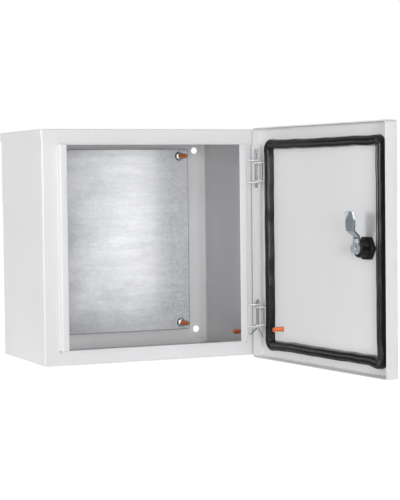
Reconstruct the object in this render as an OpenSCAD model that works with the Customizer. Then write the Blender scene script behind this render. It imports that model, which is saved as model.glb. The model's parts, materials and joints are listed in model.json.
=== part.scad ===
// Steel wall enclosure with a hinged door, a quarter-turn lock and a mounting panel.
// X runs to the right, Y towards the wall and Z up. The origin is the middle of the
// four wall holes, on the outer face of the back wall. Millimetres.
//
// Every module is drawn in the cabinet's own frame first: X from the middle, Y from the
// front plane of the side walls, Z from the underside of the body. Door pieces are drawn
// with the door closed. on_wall() and on_door() then put them in place.

/* [Cabinet] */
// Width over the side walls
body_w = 302; // [260:1:420]
// Height of the body
body_h = 300; // [260:1:500]
// Depth from the front plane to the back face
body_d = 176; // [140:1:260]
// Thickness of the folded body sheet
sheet_t = 1.2; // [1:0.1:1.5]
// Inside radius of the body's bends
bend_r = 1; // [0.6:0.1:1.4]
// Diameter of the four wall holes
wall_hole_d = 9; // [6:0.5:11]
// Side wall to the middle of a wall hole
wall_hole_side = 17.5; // [14:0.5:30]
// Underside of the body to the lower wall holes
wall_hole_low = 20.5; // [18:0.5:40]
// Top of the body to the upper wall holes
wall_hole_high = 24.5; // [24.5:0.5:40]

/* [Front frame] */
// Width of the recessed gutter beside each raised rim
gutter_w = 21; // [20:0.5:26]
// Width of the raised rim that the seal presses on
rim_w = 10.4; // [8:0.1:12]
// How far the rims and lips stand forward of the front plane
rim_rise = 8; // [6:0.1:8.5]
// Height of the roof's front flange
roof_face_h = 20; // [18:0.5:26]
// Height of the base pan's front flange
base_face_h = 19.3; // [18:0.1:26]

/* [Roof and base] */
// Thickness of the roof cap
roof_t = 1.2; // [1:0.1:1.3]
// Height of the roof's side flanges
roof_flange_h = 12; // [8:0.5:16]
// Width of the cable opening in the base
gland_w = 206; // [150:1:220]
// Depth of the cable opening in the base
gland_d = 66; // [50:1:76]
// Front plane to the middle of the cable opening
gland_y = 84; // [80:1:90]
// Thickness of the gland plate
gland_plate_t = 1.5; // [1.5:0.5:2]
// Thickness of the gasket over the gland plate
gland_gasket_t = 1.5; // [1:0.5:4]
// Diameter of the gland plate's screws
gland_screw_d = 5; // [4:1:6]

/* [Mounting panel] */
// Width of the mounting panel
panel_w = 236; // [200:1:240]
// Height of the mounting panel
panel_h = 255; // [220:1:260]
// Thickness of the mounting panel
panel_t = 1.5; // [1.5:0.5:3]
// Back wall to the rear face of the panel
panel_standoff = 12; // [8:0.5:25]
// Panel's side edge to its studs
panel_stud_side = 14; // [12:0.5:30]
// Panel's top or bottom edge to its studs
panel_stud_end = 10; // [9:0.5:20]
// How far the studs stand out of the panel's front
panel_stud_out = 25; // [15:1:40]
// Diameter of every welded stud and of its thread
stud_d = 6; // [5:1:6]
// Across the flats of the stud nuts
stud_nut_af = 10; // [10:0.5:11]
// Thickness of the stud nuts
stud_nut_t = 5; // [4:0.5:6]

/* [Earth studs] */
// Length of the earth stud on the side wall
wall_stud_len = 16; // [10:1:25]
// Front plane to the earth stud on the side wall
wall_stud_y = 48; // [35:1:80]
// Height of the earth stud on the side wall
wall_stud_z = 27; // [22:1:60]
// Length of the earth stud on the door
door_stud_len = 15; // [10:1:16]
// Hinge-side edge of the door to its earth stud
door_stud_side = 51.5; // [42:0.5:80]
// Height of the door's earth stud above the body's underside
door_stud_z = 37.5; // [36:0.5:80]

/* [Door] */
// Width of the door
door_w = 302; // [260:1:420]
// Hinge-side edge of the door behind the face of the side wall
door_setback = 1.2; // [0.5:0.1:2]
// How far the door stands above the body
door_over = 1.5; // [1.5:0.1:3]
// How far the door hangs below the body
door_under = 3; // [1.5:0.1:4]
// Depth of the door over its flanges
door_depth = 17.5; // [16:0.1:22]
// Depth of the door over its hinge-side flange
door_hinge_depth = 15.4; // [12:0.1:15.5]
// Thickness of the door sheet
door_t = 1.2; // [1:0.1:1.4]
// Corner radius of the door seen from the front
door_corner_r = 4; // [2:0.5:8]
// Opening angle of the door in the rest pose
door_open = 96; // [0:1:99]

/* [Seal] */
// Width of the seal's foot
seal_w = 13; // [10:0.5:13.5]
// Door's side edges to the seal
seal_side = 20.5; // [20:0.1:22]
// Door's top edge to the seal
seal_top = 16.3; // [12:0.1:18]
// Door's bottom edge to the seal
seal_bottom = 11.6; // [10:0.1:18]
// Outer corner radius of the seal
seal_corner_r = 15; // [14:0.5:24]
// Clearance between the closed door's seal and the rims
seal_clear = 0.3; // [0.2:0.05:0.6]

/* [Hinges] */
// Diameter of the split pins
pin_d = 3.6; // [3:0.1:4]
// Clearance all round a pin in its ears
pin_clear = 0.1; // [0.05:0.01:0.1]
// Pin axis to the inner face of the door's hinge-side flange
pin_to_flange = 4.5; // [4.2:0.1:5]
// Pin axis to the inner face of the door's panel
pin_to_panel = 9.5; // [9:0.1:11]
// Thickness of the hinge brackets
ear_t = 1.5; // [1.2:0.1:2]
// Radius of the ears round the pin
ear_r = 4; // [3.6:0.1:4.1]
// Height of a hinge over the frame bracket's ears
hinge_h = 31; // [26:0.5:40]
// Running gap under the door bracket's lower ear
hinge_gap = 0.4; // [0.3:0.1:1]
// Height of the lower hinge's middle
hinge_low_z = 52.8; // [45:0.1:80]
// Top of the body to the upper hinge's middle
hinge_high_z = 55.8; // [45:0.1:80]

/* [Lock] */
// Free edge of the door to the lock's axis
lock_side = 57.7; // [55:0.1:75]
// Height of the lock's axis above the body's underside
lock_z = 149.7; // [120:0.1:250]
// Diameter of the lock's threaded barrel
barrel_d = 22; // [20:0.5:24]
// How far the barrel stands inside the door
barrel_len = 16; // [14:0.5:16.5]
// Across the flats of the lock nut
lock_nut_af = 27; // [26:0.5:32]
// Thickness of the lock nut
lock_nut_t = 6; // [4:0.5:8]
// Diameter of the turning core
core_d = 14; // [12:0.5:15]
// Running clearance all round the core
core_clear = 0.1; // [0.05:0.01:0.1]
// Thickness of the cam
cam_t = 2; // [1.5:0.1:3]
// Lock axis to the tip of the cam
cam_len = 45; // [40:0.5:48]
// Width of the cam's blade
cam_w = 18.5; // [14:0.5:20]
// Width of the cam's neck
cam_neck_w = 12; // [10:0.5:14]
// Lock axis to the start of the cam's slope
cam_slope = 14.5; // [14:0.5:18]
// Height of the folded corners of the cam's blade
cam_fold_h = 10.5; // [6:0.5:14]
// Angle of the folded corners of the cam's blade
cam_fold = 25; // [10:1:40]
// Crank of the cam's blade away from the door
cam_crank = 9; // [6:0.5:10]
// Clearance between the cam and the rim it holds
cam_clear = 0.3; // [0.2:0.05:0.6]

/* [Hidden] */
paint = "gainsboro";
copper = "peru";
zinc = "silver";
black = "dimgray";

eps = 0.01;
bend_steps = 5;
roof_bend_r = 0.3;
side_x = body_w / 2;
wrap_h = body_h - roof_t - roof_bend_r;
hole_span_x = body_w - 2 * wall_hole_side;
hole_span_z = body_h - wall_hole_low - wall_hole_high;
hole_mid_z = wall_hole_low + hole_span_z / 2;
back_y = body_d - sheet_t;
step_x = side_x - gutter_w;
rim_x = step_x - rim_w;
mouth_low = base_face_h;
mouth_high = body_h - roof_face_h;
flange_end_x = step_x + bend_r;

gland_rim = 12;
gland_screw_y = gland_d / 2 + gland_rim;
gland_screw_x = gland_w / 2 + gland_rim / 2 + 3;
gland_edge = 8;
rivet_d = gland_screw_d + 2;
rivet_len = 4.4;
screw_head_d = 1.9 * gland_screw_d;
screw_head_h = 1.2;
screw_chamfer = 0.6;
rivet_flange_t = 1.5;

panel_back_y = back_y - panel_standoff;
panel_front_y = panel_back_y - panel_t;
panel_mid_z = body_h / 2;
panel_stud_x = panel_w / 2 - panel_stud_side;
panel_stud_dz = panel_h / 2 - panel_stud_end;
washer_t = 1.6;
washer_d = 2 * stud_d;
stud_tip = 0.8;

pin_x = side_x - door_setback - door_t - pin_to_flange;
panel_in_y = -rim_rise - seal_clear - 9.5;
pin_y = panel_in_y + pin_to_panel;
door_x1 = side_x - door_setback;
door_x0 = door_x1 - door_w;
door_z0 = -door_under;
door_z1 = body_h + door_over;
door_y = panel_in_y - door_t;
door_bend_r = 1.3;
hinge_zs = [hinge_low_z, body_h - hinge_high_z];
notch_gap = 0.7;
seal_h = 9.5;

lock_x = door_x0 + lock_side;
core_end_y = panel_in_y + barrel_len + cam_clear;
blade_y = core_end_y + cam_crank;
barrel_flat = barrel_d - 2;
head_t = 4.5;
head_d = barrel_d + 8;
lock_seal_t = 0.8;
recess_d = 9;
recess_deep = 7;
core_square = 8;
cam_washer_t = 1;
cam_washer_r = 5;
cam_washer_bore = 6.4;
cam_bolt_af = 10;
cam_bolt_h = 4;

// ---- Placing ----

module on_wall() {
    translate([0, -body_d, -hole_mid_z])
        children();
}

module on_door() {
    on_wall()
        translate([pin_x, pin_y, 0])
            rotate([0, 0, door_open])
                translate([-pin_x, -pin_y, 0])
                    children();
}

// The lock's own frame: Z points out of the door into the cabinet, Y up, X to the hinges.
module at_lock(y) {
    on_door()
        translate([lock_x, y, lock_z])
            rotate([-90, 0, 0])
                rotate([0, 0, 180])
                    children();
}

// ---- Folded sheet ----

function unit(v) = v / norm(v);
function left_of(v) = [-v[1], v[0]];
function turned(v, a) = [v[0] * cos(a) - v[1] * sin(a), v[0] * sin(a) + v[1] * cos(a)];
function turn_angle(u, v) = atan2(u[0] * v[1] - u[1] * v[0], u * v);

// Points of one bend of the line that runs d to the left of the sheet's middle line.
function bend_points(path, i, mid_r, d) =
    let (u = unit(path[i] - path[i - 1]),
         v = unit(path[i + 1] - path[i]),
         a = turn_angle(u, v),
         s = sign(a),
         start = path[i] - u * mid_r * tan(abs(a) / 2),
         centre = start + left_of(u) * s * mid_r)
    [for (k = [0:bend_steps])
        centre + turned(-left_of(u) * s, a * k / bend_steps) * (mid_r - s * d)];

function side_points(path, mid_r, d) =
    let (last = len(path) - 1,
         u = unit(path[1] - path[0]),
         v = unit(path[last] - path[last - 1]))
    concat([path[0] + left_of(u) * d],
           [for (i = [1:last - 1]) each bend_points(path, i, mid_r, d)],
           [path[last] + left_of(v) * d]);

function reversed(list) = [for (i = [len(list) - 1:-1:0]) list[i]];

// Cross-section of a sheet of thickness t, folded along the middle line given by path,
// with inside bend radius r.
module folded(path, t, r) {
    mid_r = r + t / 2;
    polygon(concat(side_points(path, mid_r, t / 2), reversed(side_points(path, mid_r, -t / 2))));
}

// Rectangle from low corner a to high corner b, with radii for the corners
// low-left, low-right, high-right and high-left.
module round_rect(a, b, r) {
    corners = [[a[0], a[1]], [b[0], a[1]], [b[0], b[1]], [a[0], b[1]]];
    inward = [[1, 1], [-1, 1], [-1, -1], [1, -1]];
    polygon([for (i = [0:3]) each
        r[i] <= 0 ? [corners[i]] :
        [for (k = [0:bend_steps])
            corners[i] + inward[i] * r[i] + turned([-r[i], 0], 90 * (i + k / bend_steps))]]);
}

// Stands a drawing in the Y-Z plane and runs it along X over width w, about the middle.
module along_x(w) {
    translate([-w / 2, 0, 0])
        rotate([90, 0, 90])
            linear_extrude(w)
                children();
}

// Stands a drawing in the X-Z plane and runs it along Y from y0 to y1.
module along_y(y0, y1) {
    translate([0, y1, 0])
        rotate([90, 0, 0])
            linear_extrude(y1 - y0)
                children();
}

// ---- Fasteners ----

// Hexagon prism from z = 0 with its corners chamfered at the ends that are asked for.
module hexagon(af, h, chamfer_low, chamfer_high) {
    corner_r = af / 2 / cos(30);
    c = corner_r - af / 2 * 0.97;
    intersection() {
        cylinder(r = corner_r, h = h, $fn = 6);
        rotate_extrude($fn = 48)
            polygon([[0, 0], [corner_r - (chamfer_low ? c : 0), 0],
                [corner_r, chamfer_low ? c * 0.6 : 0], [corner_r, h - (chamfer_high ? c * 0.6 : 0)],
                [corner_r - (chamfer_high ? c : 0), h], [0, h]]);
    }
}

module nut(af, h, bore_d) {
    difference() {
        hexagon(af, h, true, true);
        translate([0, 0, -1])
            cylinder(d = bore_d, h = h + 2, $fn = 48);
    }
}

// Welded stud with a chamfered tip, standing on z = 0.
module stud(len) {
    cylinder(d = stud_d, h = len - stud_tip, $fn = 48);
    translate([0, 0, len - stud_tip])
        cylinder(d1 = stud_d, d2 = stud_d - 2 * stud_tip, h = stud_tip, $fn = 48);
}

// Repeats at the four panel studs, with Z pointing out of the cabinet from height y.
module at_panel_studs(y) {
    for (sx = [-1, 1])
        for (sz = [-1, 1])
            translate([sx * panel_stud_x, y, panel_mid_z + sz * panel_stud_dz])
                rotate([90, 0, 0])
                    children();
}

// Repeats at the six gland screws, with Z pointing up from height z.
module at_gland_screws(z) {
    for (sx = [-1, 0, 1])
        for (sy = [-1, 1])
            translate([sx * gland_screw_x, gland_y + sy * gland_screw_y, z])
                children();
}

// ---- Body ----

half = sheet_t / 2;
right_path = [[side_x - half, back_y + half], [side_x - half, half],
    [step_x + half - sheet_t, half], [step_x + half - sheet_t, half - rim_rise],
    [rim_x, half - rim_rise]];
rim_return_y = blade_y - cam_clear;
left_path = [[half - side_x, back_y + half], [half - side_x, half],
    [sheet_t - half - step_x, half], [sheet_t - half - step_x, half - rim_rise],
    [-rim_x - half, half - rim_rise], [-rim_x - half, rim_return_y]];
wrap_path = concat(reversed(left_path), right_path);

module body_wrap() {
    color(paint)
        on_wall()
            difference() {
                linear_extrude(wrap_h)
                    folded(wrap_path, sheet_t, bend_r);
                // The raised rims stop at the lips of the base and of the roof.
                translate([-flange_end_x, -rim_rise - 1, -1])
                    cube([2 * flange_end_x, body_d / 2, mouth_low + 1]);
                translate([-flange_end_x, -rim_rise - 1, mouth_high])
                    cube([2 * flange_end_x, body_d / 2, body_h]);
                for (sx = [-1, 1])
                    for (z = [wall_hole_low, body_h - wall_hole_high])
                        translate([sx * hole_span_x / 2, back_y - 1, z])
                            rotate([-90, 0, 0])
                                cylinder(d = wall_hole_d, h = sheet_t + 2, $fn = 48);
            }
}

module roof_block(out, drop, edge_r, corner_r) {
    x = side_x + out;
    top = body_h - roof_t + out;
    intersection() {
        along_x(2 * x)
            round_rect([-out, drop], [body_d, top], [0, 0, 0, edge_r]);
        along_y(-out, body_d)
            round_rect([-x, drop], [x, top], [0, 0, edge_r, edge_r]);
        translate([0, 0, drop])
            linear_extrude(top - drop)
                round_rect([-x, -out], [x, body_d], [corner_r, corner_r, 0, 0]);
    }
}

module roof_cap() {
    outer_r = roof_t + roof_bend_r;
    lip_z = mouth_high + roof_t / 2;
    lip_top = lip_z + 3 * bend_r + roof_t;
    color(paint)
        on_wall() {
            difference() {
                roof_block(roof_t, mouth_high, outer_r, roof_t + bend_r + sheet_t);
                translate([0, 0, -eps])
                    roof_block(0, mouth_high - 1, 0, bend_r);
                translate([0, body_d / 2, body_h - roof_t - roof_bend_r])
                    cube([2 * side_x, body_d, 2 * eps], center = true);
                // The side flanges are short, and the front flange tapers to the wall's corner.
                along_y(-2 * roof_t, body_d + 1)
                    for (s = [-1, 1])
                        polygon([[s * side_x, mouth_high - 1],
                            [s * side_x, body_h - roof_flange_h - 4 * roof_t],
                            [s * (side_x + roof_t), body_h - roof_flange_h],
                            [s * (side_x + 2 * roof_t), body_h - roof_flange_h],
                            [s * (side_x + 2 * roof_t), mouth_high - 1]]);
                translate([-side_x - 2 * roof_t, eps, mouth_high - 1])
                    cube([2 * side_x + 4 * roof_t, body_d, roof_face_h - roof_flange_h + 1]);
                translate([-step_x, -2 * roof_t, mouth_high - 1])
                    cube([2 * step_x, 3 * roof_t, lip_top - mouth_high + 1]);
            }
            along_x(2 * step_x)
                folded([[-rim_rise, lip_z], [-roof_t / 2, lip_z], [-roof_t / 2, lip_top]],
                    roof_t, bend_r);
        }
}

// Ring-shaped cut and screw pattern shared by the pan, the gasket and the gland plate.
module gland_opening(h) {
    translate([0, gland_y, 0])
        linear_extrude(h)
            round_rect([-gland_w / 2, -gland_d / 2], [gland_w / 2, gland_d / 2], 6 * [1, 1, 1, 1]);
}

module gland_blank(h) {
    x = gland_screw_x + gland_edge;
    y = gland_screw_y + gland_edge;
    translate([0, gland_y, 0])
        linear_extrude(h)
            round_rect([-x, -y], [x, y], [5, 5, 5, 5]);
}

module base_pan() {
    lip_z = mouth_low - half;
    wall_x = side_x - sheet_t;
    corner = bend_r + 0.1;
    color(paint)
        on_wall()
            difference() {
                union() {
                    linear_extrude(sheet_t)
                        round_rect([-wall_x, sheet_t], [wall_x, back_y], corner * [1, 1, 1, 1]);
                    along_x(2 * flange_end_x)
                        folded([[gland_y, half], [half, half], [half, lip_z - 2 * sheet_t]],
                            sheet_t, bend_r);
                    along_x(2 * step_x)
                        folded([[half, lip_z - 3 * bend_r - sheet_t], [half, lip_z],
                            [-rim_rise, lip_z]], sheet_t, bend_r);
                }
                translate([0, 0, -1])
                    gland_opening(sheet_t + 2);
                at_gland_screws(-1)
                    cylinder(d = rivet_d, h = sheet_t + 2, $fn = 48);
            }
}

module gland_gasket() {
    color(black)
        on_wall()
            translate([0, 0, -gland_gasket_t])
                difference() {
                    gland_blank(gland_gasket_t);
                    translate([0, 0, -1])
                        gland_opening(gland_gasket_t + 2);
                    at_gland_screws(-1)
                        cylinder(d = gland_screw_d + 1, h = gland_gasket_t + 2, $fn = 48);
                }
}

module gland_plate() {
    color(paint)
        on_wall()
            translate([0, 0, -gland_gasket_t - gland_plate_t])
                difference() {
                    gland_blank(gland_plate_t);
                    at_gland_screws(-1)
                        cylinder(d = gland_screw_d + 0.5, h = gland_plate_t + 2, $fn = 48);
                }
}

module gland_screws() {
    under = gland_gasket_t + gland_plate_t;
    color(zinc)
        on_wall()
            at_gland_screws(-under) {
                rotate_extrude($fn = 48)
                    polygon([[0, -screw_head_h], [screw_head_d / 2 - screw_chamfer, -screw_head_h],
                        [screw_head_d / 2, screw_chamfer - screw_head_h],
                        [screw_head_d / 2, 0], [0, 0]]);
                cylinder(d = gland_screw_d, h = under + rivet_len, $fn = 48);
            }
}

module gland_rivet_nuts() {
    color(zinc)
        on_wall()
            at_gland_screws(0)
                difference() {
                    union() {
                        cylinder(d = rivet_d, h = rivet_len, $fn = 48);
                        translate([0, 0, sheet_t])
                            cylinder(d = rivet_d + 2, h = rivet_flange_t, $fn = 48);
                    }
                    translate([0, 0, -1])
                        cylinder(d = gland_screw_d, h = rivet_len + 2, $fn = 48);
                }
}

// ---- Mounting panel ----

module mounting_panel() {
    color(zinc)
        on_wall()
            difference() {
                translate([0, 0, panel_mid_z])
                    along_y(panel_front_y, panel_back_y)
                        round_rect([-panel_w / 2, -panel_h / 2], [panel_w / 2, panel_h / 2],
                            [2, 2, 2, 2]);
                at_panel_studs(panel_back_y + 1)
                    cylinder(d = stud_d + 1, h = panel_t + 2, $fn = 48);
            }
}

module panel_studs() {
    color(copper)
        on_wall()
            at_panel_studs(back_y)
                stud(panel_standoff + panel_t + panel_stud_out);
}

module panel_washers() {
    color(zinc)
        on_wall()
            at_panel_studs(panel_front_y)
                difference() {
                    cylinder(d = washer_d, h = washer_t, $fn = 48);
                    translate([0, 0, -1])
                        cylinder(d = stud_d + 0.4, h = washer_t + 2, $fn = 48);
                }
}

module panel_nuts() {
    color(zinc)
        on_wall()
            at_panel_studs(panel_front_y - washer_t)
                nut(stud_nut_af, stud_nut_t, stud_d);
}

module panel_jam_nuts() {
    color(zinc)
        on_wall()
            at_panel_studs(panel_back_y + stud_nut_t)
                nut(stud_nut_af, stud_nut_t, stud_d);
}

module wall_earth_stud() {
    color(copper)
        on_wall()
            translate([side_x - sheet_t, wall_stud_y, wall_stud_z])
                rotate([0, -90, 0])
                    stud(wall_stud_len);
}

// ---- Hinges ----

module frame_bracket(z) {
    low = z - hinge_h / 2;
    color(paint)
        on_wall()
            difference() {
                union() {
                    translate([step_x, -rim_rise + bend_r, low])
                        cube([ear_t, rim_rise - 2 * bend_r - 0.5, hinge_h]);
                    for (ear_z = [low, low + hinge_h - ear_t])
                        translate([0, 0, ear_z])
                            linear_extrude(ear_t)
                                polygon([[step_x, -0.6 - bend_r], [step_x, -rim_rise + bend_r],
                                    [step_x + ear_t, -rim_rise], [pin_x - ear_r - 2, pin_y - ear_r],
                                    [pin_x, pin_y - ear_r], [pin_x, pin_y + ear_r],
                                    [pin_x - ear_r - 2, pin_y + ear_r]]);
                    for (ear_z = [low, low + hinge_h - ear_t])
                        translate([pin_x, pin_y, ear_z])
                            cylinder(r = ear_r, h = ear_t, $fn = 48);
                }
                translate([pin_x, pin_y, low - 1])
                    cylinder(d = pin_d + 2 * pin_clear, h = hinge_h + 2, $fn = 48);
            }
}

module door_bracket(z) {
    low = z - hinge_h / 2 + ear_t + hinge_gap;
    high = z + hinge_h / 2 - ear_t - 5 * hinge_gap;
    foot_x = pin_x + pin_to_flange - door_bend_r - 0.2;
    color(paint)
        on_door()
            difference() {
                union() {
                    translate([pin_x - 12, panel_in_y, low])
                        cube([foot_x - pin_x + 12, ear_t, high - low]);
                    for (ear_z = [low, high - ear_t]) {
                        translate([pin_x, pin_y, ear_z])
                            cylinder(r = ear_r, h = ear_t, $fn = 48);
                        translate([0, 0, ear_z])
                            linear_extrude(ear_t)
                                polygon([[pin_x - ear_r, pin_y], [pin_x - 10, panel_in_y + ear_t],
                                    [pin_x - 10, panel_in_y], [foot_x, panel_in_y],
                                    [pin_x + ear_r, panel_in_y + 2 * door_bend_r],
                                    [pin_x + ear_r, pin_y]]);
                    }
                }
                translate([pin_x, pin_y, low - 1])
                    cylinder(d = pin_d + 2 * pin_clear, h = high - low + 2, $fn = 48);
            }
}

// One bent leg of a split pin: a round wire that leaves the end of the shank.
module pin_leg(x, tilt, swing, len) {
    translate([x, 0, 0])
        rotate([0, 0, swing])
            rotate([0, tilt, 0]) {
                cylinder(d = pin_d / 2, h = len, $fn = 24);
                sphere(d = pin_d / 2, $fn = 24);
            }
}

// Split pin with its eye at z = 0 below the ears, its shank up to len, and two legs
// given as [tilt, swing, length].
module split_pin(len, legs) {
    eye_r = 0.62 * pin_d;
    wire_r = pin_d / 4;
    cylinder(d = pin_d, h = len, $fn = 48);
    translate([0, 0, -eye_r - wire_r + 0.3])
        rotate([90, 0, 0])
            rotate_extrude($fn = 36)
                translate([eye_r - 0.2, 0])
                    circle(r = wire_r, $fn = 16);
    for (i = [0, 1])
        translate([0, 0, len - pin_d / 8])
            pin_leg((i - 0.5) * pin_d / 2, legs[i][0], legs[i][1], legs[i][2]);
}

module hinge_pin_high() {
    z = hinge_zs[1] - hinge_h / 2;
    color(zinc)
        on_wall()
            translate([pin_x, pin_y, z - 0.3])
                split_pin(hinge_h + 4, [[-4, 0, 11], [8, 0, 12]]);
}

module hinge_pin_low() {
    z = hinge_zs[0] + hinge_h / 2;
    color(zinc)
        on_wall()
            translate([pin_x, pin_y, z + 0.3])
                mirror([0, 0, 1])
                    split_pin(hinge_h + 1.6, [[-48, 0, 10.5], [22, -65, 11]]);
}

// ---- Door ----

module door_block(in, front_y) {
    x0 = door_x0 + in;
    x1 = door_x1 - in;
    z0 = door_z0 + in;
    z1 = door_z1 - in;
    y0 = door_y + in;
    edge = door_bend_r + door_t - in;
    corner = max(door_corner_r - in, 0);
    intersection() {
        translate([0, 0, z0])
            linear_extrude(z1 - z0)
                round_rect([x0, y0], [x1, front_y], [edge, edge, 0, 0]);
        translate([(x0 + x1) / 2, 0, 0])
            along_x(x1 - x0)
                round_rect([y0, z0], [front_y, z1], [edge, 0, 0, edge]);
        along_y(y0, front_y)
            round_rect([x0, z0], [x1, z1], [corner, corner, corner, corner]);
    }
}

module door_shell() {
    tip_y = door_y + door_depth;
    hinge_tip_y = door_y + door_hinge_depth;
    notch_h = ear_t + 2 * notch_gap;
    notch_y = pin_y - ear_r - 1;
    relief_y = -roof_t - 4.3;
    color(paint)
        on_door()
            difference() {
                door_block(0, tip_y);
                door_block(door_t, tip_y + 1);
                // The hinge-side flange is shorter, to swing past the front frame.
                translate([door_x1 - door_t - eps, hinge_tip_y, door_z0 + door_t + 1])
                    cube([door_t + 1, door_depth, door_z1 - door_z0 - 2 * door_t - 2]);
                translate([door_x1 - 8, relief_y, mouth_high - 1])
                    cube([9, door_depth, roof_face_h + door_over + 2]);
                translate([door_x1 - 8, hinge_tip_y, door_z0 - 1])
                    cube([9, door_depth, door_t + 3]);
                for (z = hinge_zs)
                    for (ear_z = [z - hinge_h / 2 - notch_gap, z + hinge_h / 2 - ear_t - notch_gap])
                        translate([door_x1 - door_t - 1, notch_y, ear_z])
                            cube([door_t + 2, door_depth, notch_h]);
                // Lock hole with two flats against turning.
                translate([lock_x, door_y - 1, lock_z])
                    rotate([-90, 0, 0])
                        intersection() {
                            cylinder(d = barrel_d + 0.4, h = door_t + 2, $fn = 64);
                            translate([-barrel_d, -barrel_flat / 2 - 0.2, 0])
                                cube([2 * barrel_d, barrel_flat + 0.4, door_t + 2]);
                        }
            }
}

// Half-round seal profile on a flat foot, from x = 0 to seal_w.
module seal_profile() {
    foot = 2.5;
    crown = 3.6;
    polygon(concat([[0, 0], [0, foot]],
        [for (k = [0:8])
            [seal_w / 2 - (seal_w / 2 - 0.6) * cos(180 * k / 8),
             foot + (seal_h - foot) * min(1, pow(sin(180 * k / 8), 1 / crown * 2))]],
        [[seal_w, foot], [seal_w, 0]]));
}

module door_seal() {
    x0 = door_x0 + seal_side;
    x1 = door_x1 - seal_side;
    z0 = door_z0 + seal_bottom;
    z1 = door_z1 - seal_top;
    r = seal_corner_r;
    ends = [[x0, z0], [x1, z0], [x1, z1], [x0, z1]];
    spans = [x1 - x0 - 2 * r, z1 - z0 - 2 * r, x1 - x0 - 2 * r, z1 - z0 - 2 * r];
    color(black)
        on_door()
            translate([0, panel_in_y, 0])
                rotate([-90, 0, 0])
                    mirror([0, 1, 0])
                        for (i = [0:3])
                            translate([ends[i][0], ends[i][1], 0])
                                rotate([0, 0, 90 * i]) {
                                    translate([r, r, 0])
                                        rotate([0, 0, 180])
                                            rotate_extrude(angle = 90, $fn = 64)
                                                translate([r, 0])
                                                    mirror([1, 0])
                                                        seal_profile();
                                    translate([r + spans[i], 0, 0])
                                        rotate([90, 0, -90])
                                            linear_extrude(spans[i])
                                                mirror([1, 0])
                                                    seal_profile();
                                }
}

module door_earth_stud() {
    color(copper)
        on_door()
            translate([door_x1 - door_stud_side, panel_in_y, door_stud_z])
                rotate([-90, 0, 0])
                    stud(door_stud_len);
}

// ---- Lock ----

// Stretches along the lock's axis from the door's outer face.
module lock_housing() {
    head_y = door_y - lock_seal_t;
    color(black)
        at_lock(head_y)
            difference() {
                union() {
                    rotate_extrude($fn = 96)
                        polygon([[0, 0], [head_d / 2, 0], [head_d / 2, -head_t + 1.5],
                            [head_d / 2 - 1.5, -head_t], [0, -head_t]]);
                    intersection() {
                        cylinder(d = barrel_d, h = lock_seal_t + door_t + barrel_len, $fn = 96);
                        translate([-barrel_d, -barrel_flat / 2, 0])
                            cube([2 * barrel_d, barrel_flat, 100]);
                    }
                }
                translate([0, 0, -head_t - 1])
                    cylinder(d = core_d + 2 * core_clear, h = 100, $fn = 96);
            }
}

module lock_seal() {
    color(black)
        at_lock(door_y - lock_seal_t)
            difference() {
                cylinder(d = head_d - 1, h = lock_seal_t, $fn = 96);
                translate([0, 0, -1])
                    cylinder(d = barrel_d + 0.4, h = lock_seal_t + 2, $fn = 96);
            }
}

module lock_nut() {
    color(black)
        at_lock(panel_in_y)
            difference() {
                hexagon(lock_nut_af, lock_nut_t, false, true);
                translate([0, 0, -1])
                    cylinder(d = barrel_d, h = lock_nut_t + 2, $fn = 96);
            }
}

module lock_core() {
    start_y = door_y - lock_seal_t - head_t + 0.5;
    color(zinc)
        at_lock(start_y)
            difference() {
                union() {
                    cylinder(d = core_d, h = core_end_y - start_y, $fn = 96);
                    translate([-core_square / 2, -core_square / 2, 0])
                        cube([core_square, core_square, core_end_y - start_y + cam_t]);
                }
                // Key recess with the double bit standing in it.
                translate([0, 0, -1])
                    difference() {
                        cylinder(d = recess_d, h = recess_deep + 1, $fn = 64);
                        cylinder(d = 4.5, h = recess_deep + 1, $fn = 48);
                        translate([-recess_d / 2 + 0.6, -1, 0])
                            cube([recess_d - 1.2, 2, recess_deep + 1]);
                    }
            }
}

// The cranked cam, pointing up: a hub, a sloping neck and a blade whose two corners are
// folded away from the door, so that it rides over the rim.
module lock_cam() {
    mid = cam_t / 2;
    slope_to = cam_slope + 7;
    fold_y = cam_len - cam_fold_h;
    fold_angle = atan2(cam_fold_h, 0.8 - cam_w / 2);
    color(zinc)
        at_lock(core_end_y)
            difference() {
                union() {
                    cylinder(d = cam_neck_w + 3, h = cam_t, $fn = 48);
                    translate([-cam_neck_w / 2 + 2.6, cam_slope - 8.1, 0])
                        cube([cam_neck_w - 5.2, 5.2, cam_t + 0.8]);
                    intersection() {
                        rotate([90, 0, 90])
                            translate([0, 0, -cam_w / 2])
                                linear_extrude(cam_w)
                                    folded([[0, mid], [cam_slope, mid], [slope_to, mid + cam_crank],
                                        [cam_len, mid + cam_crank]], cam_t, 0.8);
                        linear_extrude(100)
                            polygon([[-cam_neck_w / 2, 0], [cam_neck_w / 2, 0],
                                [cam_neck_w / 2, cam_slope], [cam_w / 2, slope_to + 6],
                                [cam_w / 2, fold_y], [0.8, cam_len], [-0.8, cam_len],
                                [-cam_w / 2, fold_y], [-cam_w / 2, slope_to + 6],
                                [-cam_neck_w / 2, cam_slope]]);
                    }
                    for (m = [0, 1])
                        mirror([m, 0, 0])
                            translate([cam_w / 2, fold_y, cam_crank])
                                rotate([0, 0, fold_angle])
                                    rotate([-cam_fold, 0, 0])
                                        linear_extrude(cam_t)
                                            polygon([[0, 0],
                                                cam_fold_h * [sin(fold_angle), cos(fold_angle)],
                                                [norm([cam_fold_h, 0.8 - cam_w / 2]), 0]]);
                }
                translate([-core_square / 2, -core_square / 2, -1])
                    cube([core_square, core_square, cam_t + 2]);
            }
}

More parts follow.
